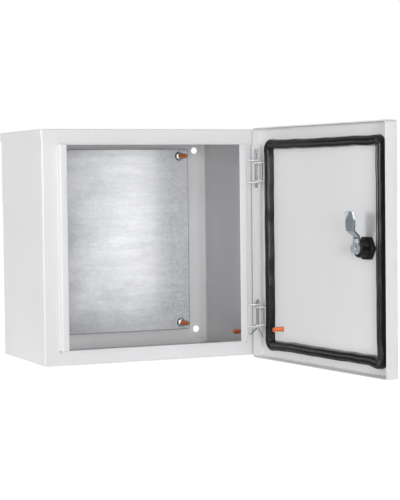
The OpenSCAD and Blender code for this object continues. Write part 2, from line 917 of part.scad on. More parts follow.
// External-tooth lock washer.
module cam_washer() {
    teeth = 12;
    color(zinc)
        at_lock(core_end_y + cam_t)
            difference() {
                union() {
                    cylinder(r = cam_washer_r, h = cam_washer_t, $fn = 64);
                    for (i = [0:teeth - 1])
                        rotate([0, 0, 360 * i / teeth])
                            translate([cam_washer_r - 0.5, -0.8, 0])
                                cube([1.1, 1.6, cam_washer_t]);
                }
                translate([0, 0, -1])
                    cylinder(d = cam_washer_bore, h = cam_washer_t + 2, $fn = 48);
            }
}

module cam_bolt() {
    color(zinc)
        at_lock(core_end_y + cam_t + cam_washer_t)
            hexagon(cam_bolt_af, cam_bolt_h, false, true);
}

body_wrap();
roof_cap();
base_pan();
mounting_panel();
panel_studs();
panel_nuts();
panel_washers();
panel_jam_nuts();
wall_earth_stud();
gland_plate();
gland_gasket();
gland_screws();
gland_rivet_nuts();
frame_bracket(hinge_zs[0]);  // hinge_frame_bracket_low
frame_bracket(hinge_zs[1]);  // hinge_frame_bracket_high
hinge_pin_low();
hinge_pin_high();
door_shell();
door_seal();
door_earth_stud();
door_bracket(hinge_zs[0]);  // hinge_door_bracket_low
door_bracket(hinge_zs[1]);  // hinge_door_bracket_high
lock_housing();
lock_seal();
lock_nut();
lock_core();
lock_cam();
cam_washer();
cam_bolt();
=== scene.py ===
"""Dresses a steel wall enclosure: painted sheet, galvanised panel, copper studs,
rubber door seal, split-pin hinges and a quarter-turn lock, on a pale stage.

Lengths in the code are in metres, in the frame of the packed model: X to the right,
Y towards the wall, Z up. A piece that belongs to the door is placed as the door
stands open at rest.
"""

import json
import math

import bmesh
import bpy
import numpy as np
from bpy.props import FloatProperty, FloatVectorProperty, IntProperty, PointerProperty
from bpy.types import Operator, Panel, PropertyGroup
from mathutils import Matrix, Vector

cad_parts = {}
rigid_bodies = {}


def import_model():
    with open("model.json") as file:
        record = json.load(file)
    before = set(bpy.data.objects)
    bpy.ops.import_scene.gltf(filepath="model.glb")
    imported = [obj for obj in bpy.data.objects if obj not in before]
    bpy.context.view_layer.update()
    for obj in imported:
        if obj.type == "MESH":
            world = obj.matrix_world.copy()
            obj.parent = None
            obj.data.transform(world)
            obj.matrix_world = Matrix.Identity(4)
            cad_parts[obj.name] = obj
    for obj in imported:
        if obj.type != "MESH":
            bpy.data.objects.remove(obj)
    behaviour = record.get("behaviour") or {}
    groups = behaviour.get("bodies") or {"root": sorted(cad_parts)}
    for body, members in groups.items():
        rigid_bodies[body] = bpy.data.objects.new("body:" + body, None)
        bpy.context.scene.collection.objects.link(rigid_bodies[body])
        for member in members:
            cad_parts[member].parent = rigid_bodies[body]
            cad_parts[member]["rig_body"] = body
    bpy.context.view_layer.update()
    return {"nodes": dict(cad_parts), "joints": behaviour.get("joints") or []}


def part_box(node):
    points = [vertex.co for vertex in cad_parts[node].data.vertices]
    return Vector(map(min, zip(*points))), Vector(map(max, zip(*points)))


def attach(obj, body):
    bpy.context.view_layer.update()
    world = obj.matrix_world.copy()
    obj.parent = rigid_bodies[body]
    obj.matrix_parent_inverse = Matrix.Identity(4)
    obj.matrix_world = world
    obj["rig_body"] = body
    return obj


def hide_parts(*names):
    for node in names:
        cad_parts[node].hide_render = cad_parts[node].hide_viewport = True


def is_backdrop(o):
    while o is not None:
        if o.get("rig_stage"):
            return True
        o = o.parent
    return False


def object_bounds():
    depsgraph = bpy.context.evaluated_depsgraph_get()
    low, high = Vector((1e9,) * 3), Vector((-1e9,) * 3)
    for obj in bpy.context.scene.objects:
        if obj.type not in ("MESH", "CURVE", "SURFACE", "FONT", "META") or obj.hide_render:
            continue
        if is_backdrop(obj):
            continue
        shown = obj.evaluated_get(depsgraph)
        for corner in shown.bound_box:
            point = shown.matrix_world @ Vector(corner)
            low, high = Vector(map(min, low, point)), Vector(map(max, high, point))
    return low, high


bl_info = {
    "name": "Steel wall enclosure",
    "version": (1, 0, 0),
    "blender": (4, 5, 0),
    "location": "3D View > Sidebar > Enclosure",
    "description": "Dresses a hinged steel wall enclosure piece by piece",
    "category": "Object",
}

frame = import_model()

MM = 0.001
JOINTS = {joint["name"]: joint for joint in frame["joints"]}
HINGE_AXIS = np.array(JOINTS["door_hinge"]["pos_m"], float)
LOCK_AXIS = np.array(JOINTS["lock_turn"]["pos_m"], float)
OUT_OF_DOOR = np.array(JOINTS["lock_turn"]["axis"], float)
UP = np.array([0.0, 0.0, 1.0])
# The door's inner face looks along +Y when it is closed, and against OUT_OF_DOOR now.
DOOR_ANGLE = math.atan2(-OUT_OF_DOOR[1], -OUT_OF_DOOR[0]) - math.pi / 2

# Points closer than this are one point.
SAME_POINT = 2e-6
# A thread's depth and the share of it that is flattened at its crest and root.
THREAD_DEPTH = 0.54
THREAD_FLAT = 0.125
ROWS_PER_THREAD = 7
# A nut's chamfer is a cone of 30 degrees that starts inside its flats.
CHAMFER_SLOPE = 0.577
CHAMFER_START = 0.475


# ---- Frames and boxes ----


def corners(node):
    """Vertices of a CAD node as an array of points."""
    mesh = frame["nodes"][node].data
    flat = np.empty(len(mesh.vertices) * 3)
    mesh.vertices.foreach_get("co", flat)
    return flat.reshape(-1, 3)


def box_of(node):
    """Lowest and highest corner of a CAD node."""
    return tuple(np.array(end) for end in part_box(node))


def turned_about_hinge(points, angle):
    """Points turned about the hinge's upright axis: x' = x cos - y sin, y' = x sin + y cos."""
    c, s = math.cos(angle), math.sin(angle)
    moved = np.asarray(points, float) - HINGE_AXIS
    turned = np.stack([moved[..., 0] * c - moved[..., 1] * s,
                       moved[..., 0] * s + moved[..., 1] * c, moved[..., 2]], -1)
    return turned + HINGE_AXIS


def on_door(points):
    """Points given with the door closed, put where the open door has them."""
    return turned_about_hinge(points, DOOR_ANGLE)


def closed_box(node):
    """Lowest and highest corner of one of the door's nodes with the door closed."""
    points = turned_about_hinge(corners(node), -DOOR_ANGLE)
    return points.min(0), points.max(0)


def cross_frame(direction):
    """Three unit vectors: two across the direction, and the direction itself."""
    w = np.asarray(direction, float) / np.linalg.norm(direction)
    side = np.cross(UP, w)
    if np.linalg.norm(side) < 1e-6:
        side = np.cross([0.0, 1.0, 0.0], w)
    u = side / np.linalg.norm(side)
    return u, np.cross(w, u), w


# ---- Surfaces ----


def grid_faces(rows, columns, wrap_rows, wrap_columns, first=0):
    """Quads between neighbours of a grid of points stored row by row, with wrapping."""
    i = np.arange(rows if wrap_rows else rows - 1)
    j = np.arange(columns if wrap_columns else columns - 1)
    i, j = (part.ravel() for part in np.meshgrid(i, j, indexing="ij"))
    i2, j2 = (i + 1) % rows, (j + 1) % columns
    return first + np.stack([i * columns + j, i2 * columns + j,
                             i2 * columns + j2, i * columns + j2], -1)


def surface(name, grids):
    """One mesh from grids of points, each (points, wrap rows, wrap columns)."""
    blocks, faces, first = [], [], 0
    for points, wrap_rows, wrap_columns in grids:
        rows, columns = points.shape[:2]
        blocks.append(points.reshape(-1, 3))
        faces.append(grid_faces(rows, columns, wrap_rows, wrap_columns, first))
        first += rows * columns
    mesh = bpy.data.meshes.new(name)
    mesh.from_pydata(np.concatenate(blocks).tolist(), [], np.concatenate(faces).tolist())
    clean(mesh)
    piece = placed(name, mesh)
    smooth(piece)
    return piece


def clean(mesh, flat_angle=None):
    """Merges points that fall together at seams and poles. Then faces that meet at less
    than the angle are joined, or without an angle all faces are turned outwards."""
    work = bmesh.new()
    work.from_mesh(mesh)
    bmesh.ops.remove_doubles(work, verts=work.verts, dist=SAME_POINT)
    if flat_angle is None:
        bmesh.ops.recalc_face_normals(work, faces=work.faces)
    else:
        bmesh.ops.dissolve_limit(work, angle_limit=flat_angle, verts=work.verts,
                                 edges=work.edges)
    work.to_mesh(mesh)
    work.free()


def placed(name, data):
    """A new object that holds the data, linked to the scene."""
    piece = bpy.data.objects.new(name, data)
    bpy.context.scene.collection.objects.link(piece)
    return piece


def smooth(piece, degrees=32):
    """Smooth shading, with edges sharper than the angle kept crisp."""
    mesh = piece.data
    mesh.polygons.foreach_set("use_smooth", np.ones(len(mesh.polygons), bool))
    mesh.set_sharp_from_angle(angle=math.radians(degrees))


def about_axis(origin, direction, radius, height, angle):
    """Point = origin + radius (cos angle u + sin angle v) + height w, where w is the
    direction and u, v lie across it."""
    u, v, w = cross_frame(direction)
    return (np.asarray(origin)
            + (radius * np.cos(angle))[..., None] * u
            + (radius * np.sin(angle))[..., None] * v
            + height[..., None] * w)


def hexagon_radius(angle, flats):
    """Distance from the middle to the side of a hexagon with that width across its flats:
    half the width over the cosine of the angle to the nearest flat's middle."""
    return flats / 2 / np.cos((angle + math.pi / 6) % (math.pi / 3) - math.pi / 6)


def hexagon_angles(per_side=8):
    """Angles round a hexagon that hit each corner."""
    return np.arange(6 * per_side) * math.pi / 3 / per_side + math.pi / 6


def threaded_side(radius, length, pitch, tip, start=0.0, around=32, flat=None):
    """Angle, radius and height of points on a threaded rod. The radius falls below the
    crest by the depth times a triangle wave of (height / pitch - angle / full turn); it
    fades out at the tip's chamfer, and is cut to the flats where there are any."""
    angle = np.arange(around) * 2 * math.pi / around
    rows = max(8, int(round((length - start) / pitch * ROWS_PER_THREAD)))
    angle, height = np.meshgrid(angle, np.linspace(start, length, rows))
    phase = (height / pitch - angle / (2 * math.pi)) % 1.0
    wave = np.clip(np.abs(2 * phase - 1) * (1 + 2 * THREAD_FLAT) - THREAD_FLAT, 0, 1)
    depth = THREAD_DEPTH * pitch
    chamfer = np.minimum(radius, radius - tip + np.maximum(length - height, 0))
    r = np.minimum(radius - depth * wave, chamfer)
    if flat:
        r = np.minimum(r, distance_to_flat(flat, angle))
    return angle, r, height


def distance_to_flat(flat, angle):
    """Distance from the axis to two flats: their own distance over |cos angle|."""
    return flat / np.maximum(np.abs(np.cos(angle)), 1e-6)


def stud_side(origin, direction, angle, r, height, collar_r, collar_h):
    """A threaded side closed by a flat disc at its tip, on a collar at its foot."""
    ones = np.ones((1, r.shape[1]))
    r = np.concatenate([0 * ones, collar_r * ones, 0.97 * collar_r * ones, r[:1] * 1.02,
                        r, 0 * r[-1:]])
    height = np.concatenate([0 * ones, 0 * ones, 0.6 * collar_h * ones, collar_h * ones,
                             height, height[-1:]])
    return about_axis(origin, direction, r, height, np.broadcast_to(angle[0], r.shape))


def profile_rows(profile, angle):
    """Radii and heights of a profile's (radius, height) pairs at each angle. Either may be
    a function of the angle, as for a hexagon cut by cones."""
    def row(value):
        return np.full(angle.shape, value(angle) if callable(value) else value, float)

    return (np.array([row(pair[i]) for pair in profile]) for i in (0, 1))


def ring_section(origin, direction, profile, angle, turn=0.0):
    """Surface of revolution of a closed profile, turned about its axis."""
    r, height = profile_rows(profile, angle)
    return about_axis(origin, direction, r, height, np.broadcast_to(angle + turn, r.shape))


def swept(path, tangents, side, profile):
    """Profile carried along a path: point = path + a side + b (side x tangent), for each
    (a, b) of the profile. The rows follow the path and the columns the profile."""
    other = np.cross(side, tangents)
    return (path[:, None, :] + profile[None, :, :1] * side[:, None, :]
            + profile[None, :, 1:2] * other[:, None, :])


# ---- Copies of CAD nodes ----


def dressed_copy(node, name, material, edge, segments=2, degrees=35):
    """Copy of a CAD node with joined corners, whole flat faces and softened edges. It
    stands for the node and rides on the node's body."""
    mesh = frame["nodes"][node].data.copy()
    mesh.name = name
    mesh.materials.clear()
    clean(mesh, math.radians(0.8))
    piece = placed(name, mesh)
    smooth(piece, degrees)
    bevel = piece.modifiers.new("softened edges", "BEVEL")
    bevel.width = edge
    bevel.segments = segments
    bevel.limit_method = "ANGLE"
    bevel.angle_limit = math.radians(degrees)
    bevel.use_clamp_overlap = True
    bevel.miter_outer = "MITER_ARC"
    weighted = piece.modifiers.new("flat faces stay flat", "WEIGHTED_NORMAL")
    weighted.keep_sharp = False
    weighted.weight = 60
    finish_piece(piece, material, node)


def finish_piece(piece, material, node):
    """Gives a piece its material, and lets it ride on and stand for its node."""
    piece.data.materials.append(material)
    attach(piece, frame["nodes"][node]["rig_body"])
    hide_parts(node)


def made_piece(name, grids, material, node):
    """A piece of its own points that stands for a node."""
    finish_piece(surface(name, grids), material, node)


# ---- Materials ----


class Finish:
    """A material, or the sky, and short ways to add nodes to it."""

    def __init__(self, name, sky=False):
        self.material = (bpy.data.worlds if sky else bpy.data.materials).new(name)
        self.material.use_nodes = True
        self.nodes = self.material.node_tree.nodes
        self.links = self.material.node_tree.links
        self.shader = self.nodes["Background" if sky else "Principled BSDF"]
        self.place = self.nodes.new("ShaderNodeTexCoord").outputs["Object"]

    def add(self, kind, output=0, operation=None, **inputs):
        """A node whose inputs, by name with _ for spaces, are values or other outputs."""
        node = self.nodes.new("ShaderNode" + kind)
        if operation:
            node.operation = operation
        for key, value in inputs.items():
            self.feed(node, key.replace("_", " "), value)
        return node.outputs[output]

    def feed(self, node, key, value):
        """Joins an output to an input, or sets the input."""
        socket = node.inputs[int(key[1:])] if key.startswith("#") else node.inputs[key]
        if isinstance(value, bpy.types.NodeSocket):
            self.links.new(value, socket)
        else:
            socket.default_value = value

    def set(self, **inputs):
        """Sets or joins inputs of the surface shader."""
        for key, value in inputs.items():
            self.feed(self.shader, key.replace("_", " "), value)

    def noise(self, scale, detail=3.0, roughness=0.5, stretch=(1, 1, 1), output=0):
        """Noise of that many features to the metre, stretched along the axes."""
        place = self.add("Mapping", Vector=self.place, Scale=stretch)
        return self.add("TexNoise", output, Vector=place, Scale=scale, Detail=detail,
                        Roughness=roughness)

    def math(self, operation, a, b=0.0):
        """Arithmetic on two values or outputs."""
        return self.add("Math", operation=operation, **{"#0": a, "#1": b})

    def times(self, a, b):
        """Product of two values or outputs."""
        return self.math("MULTIPLY", a, b)

    def ranged(self, value, low, high, to_low=0.0, to_high=1.0):
        """Value carried from one range to another, and kept inside it."""
        return self.add("MapRange", Value=value, From_Min=low, From_Max=high,
                        To_Min=to_low, To_Max=to_high)

    def blend(self, factor, first, second):
        """Colour between two colours."""
        node = self.nodes.new("ShaderNodeMix")
        node.data_type = "RGBA"
        self.feed(node, "#0", factor)
        self.feed(node, "#6", first)
        self.feed(node, "#7", second)
        return node.outputs[2]

    def seen_by(self, *rays):
        """One where the camera or a ray of one of these kinds looks, and zero elsewhere."""
        path = self.nodes.new("ShaderNodeLightPath").outputs
        seen = path["Is Camera Ray"]
        for ray in rays:
            seen = self.math("MAXIMUM", seen, path[ray])
        return seen

    def bump(self, height, strength, distance, below=None):
        """Normal of a height pattern, laid over another bump where there is one."""
        inputs = {"Height": height, "Strength": strength, "Distance": distance}
        if below is not None:
            inputs["Normal"] = below
        return self.add("Bump", **inputs)


def rgba(colour, factor=1.0):
    """Four channels from a colour property."""
    return tuple(min(1.0, channel * factor) for channel in colour[:3]) + (1.0,)


def powder_coat(sizes):
    """Light grey powder coat: fine orange peel over a slower flow pattern, and a very
    faint change of tone and gloss from place to place."""
    finish = Finish("powder_coat")
    tone = finish.noise(9.0, 2.0)
    grain = finish.noise(1.0 / sizes.peel_size, 2.0, 0.6)
    flow = finish.noise(0.22 / sizes.peel_size, 1.0)
    colour = finish.blend(finish.ranged(tone, 0.3, 0.7), rgba(sizes.colour, 0.975),
                          rgba(sizes.colour, 1.015))
    speck = finish.ranged(grain, 0.35, 0.75, 0.0, 0.12)
    colour = finish.blend(speck, colour, rgba(sizes.colour, 0.9))
    normal = finish.bump(flow, 0.12, sizes.peel_size * 0.15)
    normal = finish.bump(grain, 0.35, sizes.peel_size * 0.08, normal)
    finish.set(Base_Color=colour, Normal=normal, IOR=1.5,
               Roughness=finish.ranged(grain, 0.3, 0.7, sizes.roughness - 0.05,
                                       sizes.roughness + 0.06))
    return finish.material


def galvanised_sheet(sizes, low, high):
    """Hot-dip zinc on sheet: small crystal cells with their own tilt and tone, streaks
    along the rolling direction and shallow wrinkles. A painted reflection, a pale band,
    rises slowly from the left, ends quickly on the right and fades towards the bottom,
    with darker wrinkle lines across it. Painted shading makes the sheet darker on the left
    and lighter on the right, and a painted shadow line runs round the edges."""
    finish = Finish("galvanised_sheet")
    middle, reach = (low + high) / 2, (high - low) / 2
    x, z = (finish.add("SeparateXYZ", i, Vector=finish.place) for i in (0, 2))
    warp = finish.noise(90.0, 2.0, output=1)
    bent = finish.add("VectorMath", operation="MULTIPLY_ADD", **{
        "#0": warp, "#1": (0.006, 0.006, 0.006), "#2": finish.place})
    cell = finish.add("TexVoronoi", 1, Vector=bent, Scale=1.0 / sizes.spangle_size)
    cell = finish.add("SeparateColor", 0, Color=cell)
    streak = finish.noise(55.0, 6.0, 0.65, stretch=(0.25, 1.0, 2.2))
    brush = finish.noise(700.0, 3.0, 0.6, stretch=(0.25, 1.0, 1.0))
    cloud = finish.noise(15.0, 5.0, 0.6, stretch=(0.8, 1.0, 1.2))
    fold = finish.noise(42.0, 2.0, 0.5, stretch=(0.4, 1.0, 1.8))
    wrinkle = finish.ranged(finish.math("ABSOLUTE", finish.math("SUBTRACT", fold, 0.5)),
                            0.0, 0.016, 1.0, 0.0)

    shift = finish.times(finish.math("SUBTRACT", cloud, 0.5), reach[0])
    across = finish.math("ADD", x, shift)
    left, right = middle[0] - 0.62 * reach[0], middle[0] + 0.64 * reach[0]
    # Painted reflection: a pale band over the middle and right, fading towards the bottom.
    painted_band = finish.math("MULTIPLY",
                       finish.ranged(across, left, left + 0.95 * reach[0]),
                       finish.ranged(finish.math("ADD", x, finish.times(shift, 0.15)),
                                     right - 0.12 * reach[0], right + 0.14 * reach[0], 1.0, 0.0))
    painted_band = finish.times(painted_band, finish.ranged(
        finish.math("ADD", z, shift), low[2], low[2] + 0.5 * reach[2], 0.25, 1.0))
    painted_band = finish.times(painted_band, finish.ranged(streak, 0.35, 0.6, 0.8, 1.0))
    tone = finish.math("ADD", finish.times(cell, 0.22),
                       finish.times(streak, 0.42))
    tone = finish.math("ADD", tone, finish.times(brush, 0.34))
    # Painted shading: the sheet darker on the left and lighter on the right.
    painted_shading = finish.blend(finish.ranged(x, left, right + 0.2 * reach[0]),
                        rgba(sizes.colour, 0.74), rgba(sizes.colour, 1.55))
    base = finish.blend(finish.ranged(tone, 0.3, 0.7, 0.24, 0.0), painted_shading, (0.0, 0.0, 0.0, 1.0))
    base = finish.blend(finish.times(painted_band, finish.ranged(tone, 0.3, 0.65, 0.82, 1.0)),
                        base, rgba(sizes.wiped_colour))
    # Darker wrinkle lines inside the painted reflection.
    base = finish.blend(finish.times(wrinkle, finish.times(painted_band, 0.16)),
                        base, rgba(sizes.colour, 0.6))
    # Painted shadow: a dark line round the sheet's edges.
    inside = [finish.math("SUBTRACT", reach[i], finish.math("ABSOLUTE", finish.math(
        "SUBTRACT", place, middle[i]))) for i, place in ((0, x), (2, z))]
    painted_edge_shadow = finish.ranged(finish.math("MINIMUM", *inside), sizes.cut_edge * 0.6,
                        sizes.cut_edge * 1.2, 0.75, 0.0)
    base = finish.blend(painted_edge_shadow, base, rgba(sizes.colour, 0.12))
    normal = finish.bump(cell, 0.10, 0.00006)
    normal = finish.bump(streak, 0.25, 0.0002, normal)
    normal = finish.bump(wrinkle, 0.3, 0.0001, normal)
    normal = finish.bump(brush, 0.2, 0.00004, normal)
    finish.set(Base_Color=base, Normal=normal, Metallic=0.72,
               Roughness=finish.ranged(tone, 0.2, 0.7, 0.34, 0.5))
    return finish.material


def copper_plate(sizes):
    """Copper flash on steel threads: warm metal, darker and duller in patches."""
    finish = Finish("copper_plate")
    patch = finish.noise(420.0, 3.0)
    dust = finish.noise(2600.0, 2.0)
    colour = finish.blend(finish.ranged(patch, 0.35, 0.7), rgba(sizes.colour),
                          rgba(sizes.colour, 0.62))
    finish.set(Base_Color=colour, Metallic=0.82, Normal=finish.bump(dust, 0.2, 0.00003),
               Roughness=finish.ranged(patch, 0.3, 0.7, 0.26, 0.46))
    return finish.material


def zinc_plate(name, colour, roughness, metallic=0.95, painted_boss=None):
    """Bright zinc on small steel parts: faint bluish cloud, tumbling marks and rougher spots.
    On a stamped boss, given by its middle, sideways direction, half sizes and band width,
    a painted highlight brightens the boss, and painted shade darkens a band of that width round
    it."""
    finish = Finish(name)
    cloud = finish.noise(160.0, 3.0)
    marks = finish.noise(1800.0, 4.0, 0.7)
    tint = finish.blend(finish.ranged(cloud, 0.35, 0.65), rgba(colour),
                        rgba((colour[0] * 0.86, colour[1] * 0.9, colour[2] * 0.95)))
    if painted_boss:
        middle, sideways, half_wide, half_tall, painted_band = painted_boss
        from_middle = finish.add("VectorMath", operation="SUBTRACT", **{
            "#0": finish.place, "#1": tuple(middle)})
        past = [finish.math("SUBTRACT", finish.math("ABSOLUTE", finish.add(
            "VectorMath", 1, operation="DOT_PRODUCT", **{
                "#0": from_middle, "#1": tuple(way)})), half)
            for way, half in ((sideways, half_wide), (UP, half_tall))]
        outside = finish.math("MAXIMUM", *past)
        # Painted highlight: the boss twice as bright as the sheet.
        tint = finish.blend(finish.ranged(outside, 0.0, 0.2 * MM, 1.0, 0.0), tint,
                            rgba(colour, 2.0))
        # Painted shade: a near black band round the boss.
        dark = finish.times(finish.ranged(outside, 0.0, 0.3 * MM),
                           finish.ranged(outside, painted_band, painted_band + 0.3 * MM, 1.0, 0.0))
        tint = finish.blend(dark, tint, rgba(colour, 0.12))
    finish.set(Base_Color=tint, Metallic=metallic, Normal=finish.bump(marks, 0.22, 0.00004),
               Roughness=finish.ranged(marks, 0.3, 0.7, roughness - 0.06, roughness + 0.08))
    return finish.material


def rubber_skin(sizes):
    """Black rubber with a closed skin: fine grain, shallow ripples and a grey bloom."""
    finish = Finish("rubber_skin")
    grain = finish.noise(2400.0, 3.0, 0.6)
    ripple = finish.noise(150.0, 3.0)
    bloom = finish.noise(60.0, 4.0, 0.6)
    colour = finish.blend(finish.ranged(bloom, 0.35, 0.75), rgba(sizes.colour),
                          rgba(sizes.bloom_colour))
    normal = finish.bump(ripple, 0.10, 0.0005)
    normal = finish.bump(grain, 0.2, 0.00003, normal)
    finish.set(Base_Color=colour, Normal=normal, Specular_IOR_Level=0.17,
               Roughness=finish.ranged(grain, 0.3, 0.7, 0.10, 0.17))
    return finish.material


def black_nylon(sizes):
    """Glass-filled nylon: near black, with a fine sparked grain and paler worn specks."""
    finish = Finish("black_nylon")
    grain = finish.noise(3000.0, 3.0, 0.7)
    wear = finish.noise(500.0, 5.0, 0.7)
    colour = finish.blend(finish.ranged(wear, 0.5, 0.75), rgba(sizes.colour),
                          rgba(sizes.colour, 1.9))
    finish.set(Base_Color=colour, Normal=finish.bump(grain, 0.3, 0.00005),
               Specular_IOR_Level=0.22, Roughness=finish.ranged(grain, 0.3, 0.7, 0.30, 0.44))
    return finish.material


def made(maker, *args):
    """A material by its maker's name, made the first time that it is asked for."""
    return bpy.data.materials.get(maker.__name__) or maker(*args)


# ---- Sizes and colours ----


def colour_of(name, description, default):
    """A colour that the user can set."""
    return FloatVectorProperty(name=name, description=description, default=default,
                               subtype="COLOR", size=3, min=0, max=1)


def length_of(name, description, default):
    """A length in metres that the user can set."""
    return FloatProperty(name=name, description=description, default=default, unit="LENGTH")


def amount_of(name, description, default, highest=1000.0):
    """A strength, power or share from zero up that the user can set."""
    return FloatProperty(name=name, description=description, default=default, min=0,
                         max=highest)


class PaintSizes(PropertyGroup):
    """Powder coat on the folded sheet."""

    colour: colour_of("Colour", "Colour of the powder coat", (0.72, 0.72, 0.73))
    peel_size: length_of("Orange peel", "Size of the coat's fine bumps", 0.0011)
    roughness: amount_of("Roughness", "Roughness of the coat", 0.32, 1.0)
    edge: length_of("Edge", "Rounding of the sheets' cut edges", 0.0003)


class WeldSizes(PropertyGroup):
    """Weld beads."""

    radius: length_of("Radius", "Radius of a bead", 0.0008)
    pitch: length_of("Pitch", "Length of one lump of a bead", 0.0045)
    length: length_of("Length", "Length of a bead at the mouth's corners", 0.009)
    leaf_inset: length_of("Inset", "Edge of a hinge leaf to its bead", 0.0066)
    lips: FloatVectorProperty(name="Lips", description="Heights of the lips that the beads join",
                              size=2, default=(-0.1287, 0.1320), unit="LENGTH")
    # Near black for the leaf welds, which also paints the shade along the leaf's edge.
    burnt_colour: colour_of("Weld shade colour", "Colour of welds and their painted shade", (0.10, 0.10, 0.10))


class ZincSizes(PropertyGroup):
    """Galvanised panel and zinc-plated small parts."""

    colour: colour_of("Panel colour", "Colour of the galvanised panel", (0.45, 0.46, 0.48))
    # Colour of the panel's painted reflection.
    wiped_colour: colour_of("Painted reflection", "Colour of the painted reflection", (0.84, 0.845, 0.855))
    # Width of the painted shadow line round the panel's edges.
    cut_edge: length_of("Edge shadow", "Width of the dull line at the edges", 0.0008)
    spangle_size: length_of("Spangle", "Size of the zinc crystals", 0.0026)
    part_colour: colour_of("Part colour", "Colour of the small parts", (0.50, 0.52, 0.53))
    edge: length_of("Edge", "Rounding of the small parts' edges", 0.0003)


class StudSizes(PropertyGroup):
    """Copper-plated welded studs."""

    colour: colour_of("Colour", "Colour of the copper plate", (0.80, 0.235, 0.075))
    pitch: length_of("Pitch", "Pitch of the studs' thread", 0.001)
    collar: length_of("Collar", "Height of the weld collar at the foot", 0.0009)


class SealSizes(PropertyGroup):
    """Rubber door seal."""

    colour: colour_of("Colour", "Colour of the rubber", (0.009, 0.009, 0.010))
    bloom_colour: colour_of("Bloom", "Colour of the rubber's bloom", (0.017, 0.016, 0.018))
    groove: length_of("Groove", "Depth of the groove between the ridges", 0.0012)
    waver: length_of("Waver", "How far the seal's edges wander", 0.0005)
    swell: FloatVectorProperty(name="Swell", description="How far the seal bulges at each corner, "
                               "from the lower lock side round by the hinges", size=4,
                               default=(0.0034, 0.0018, 0.0014, 0.0006), unit="LENGTH")
    foot_width: length_of("Width", "Width of the seal's foot", 0.013)
    corner: length_of("Corner", "Outer corner radius of the seal", 0.015)
    steps: IntProperty(name="Steps", description="Points along the seal", default=760, min=80)


class PinSizes(PropertyGroup):
    """Split pins of the hinges."""

    gap: length_of("Split", "Gap between the two halves of a pin", 0.0005)
    colour: colour_of("Colour", "Colour of the zinc on the wire", (0.22, 0.225, 0.235))
    roughness: amount_of("Roughness", "Roughness of the zinc on the wire", 0.27, 1.0)


class LockSizes(PropertyGroup):
    """Quarter-turn lock."""

    colour: colour_of("Nylon colour", "Colour of the housing and nut", (0.005, 0.005, 0.006))
    pitch: length_of("Pitch", "Pitch of the barrel's thread", 0.0015)
    cam_colour: colour_of("Cam colour", "Colour of the zinc on the cam", (0.42, 0.455, 0.47))
    bolt_colour: colour_of("Bolt colour", "Colour of the core's zinc", (0.62, 0.64, 0.66))
    boss: length_of("Boss", "Lower end of the cam to the middle of its boss", 0.0165)
    tooth: length_of("Tooth", "How far the lock washer's teeth stand out", 0.0014)


class StageSizes(PropertyGroup):
    """Floor, light and camera."""

    world: amount_of("World", "Strength of the light from all round", 0.25)
    glow: amount_of("Floor glow", "Light that the floor adds of its own", 0.13)
    left: amount_of("Left lamp", "Power of the lamp at the left, in watts", 76.0)
    front: amount_of("Front lamp", "Power of the lamp in front, in watts", 34.0)
    high: amount_of("High lamp", "Power of the raised lamp, in watts", 6.0)
    side: amount_of("Side lamp", "Power of the lamp up at the left, in watts", 13.0)
    lens: FloatProperty(name="Lens", description="Focal length in millimetres",
                        default=114.24, min=10)


SETTINGS = {
    "enclosure_paint": PaintSizes, "enclosure_welds": WeldSizes, "enclosure_zinc": ZincSizes,
    "enclosure_studs": StudSizes, "enclosure_seal": SealSizes, "enclosure_pins": PinSizes,
    "enclosure_lock": LockSizes, "enclosure_stage": StageSizes,
}


# ---- Pieces ----


class ENCLOSURE_OT_paint_sheet(Operator):
    """Puts powder coat on the folded sheets, and softens their cut edges"""

    bl_idname = "enclosure.paint_sheet"
    bl_label = "Painted sheet"

    def execute(self, context):
        sizes = context.scene.enclosure_paint
        coat = made(powder_coat, sizes)
        sheets = {
            "body_wrap": "wrap_sheet", "roof_cap": "roof_sheet", "base_pan": "pan_sheet",
            "gland_plate": "gland_sheet", "door_shell": "door_sheet",
            "hinge_frame_bracket_low": "frame_leaf_low",
            "hinge_frame_bracket_high": "frame_leaf_high",
            "hinge_door_bracket_low": "door_leaf_low",
            "hinge_door_bracket_high": "door_leaf_high",
        }
        for node, name in sheets.items():
            dressed_copy(node, name, coat, sizes.edge)
        return {"FINISHED"}


